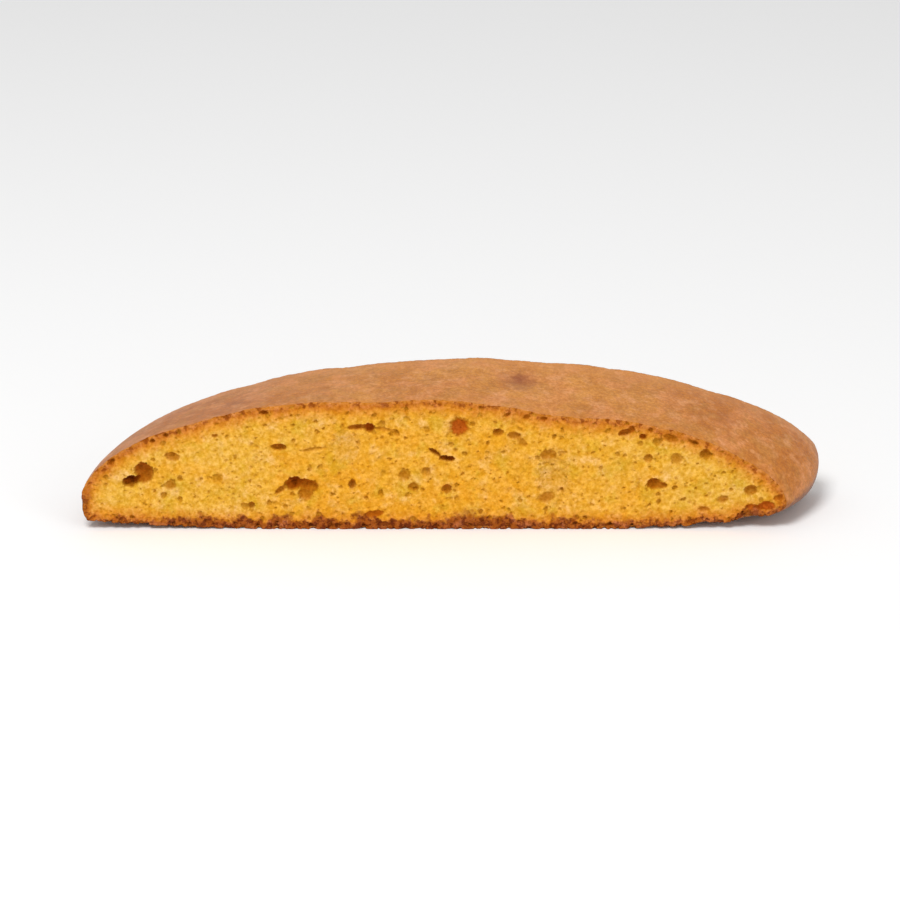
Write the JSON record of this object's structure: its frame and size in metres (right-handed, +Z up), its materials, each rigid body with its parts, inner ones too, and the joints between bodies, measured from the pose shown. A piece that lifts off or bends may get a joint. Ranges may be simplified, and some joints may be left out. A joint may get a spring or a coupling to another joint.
{
  "type": "biscotto",
  "caption": "Slice of a twice-baked loaf: a long low dome with flat porous cut faces front and back and a browned crust between them, lying on its baked base.",
  "frame": {"origin": "under the middle of the slice's box, on the surface that its base rests on", "axes": "+X along the cut faces towards the end whose front edge tapers lowest, -Y out of the front cut face, +Z up through the dome of the crust"},
  "size_m": [0.1378, 0.0196, 0.0268],
  "materials": {
    "crumb": "matte",
    "crust": "matte"
  },
  "bodies": {
    "root": {"biscotto": "crumb"}
  },
  "joints": []
}
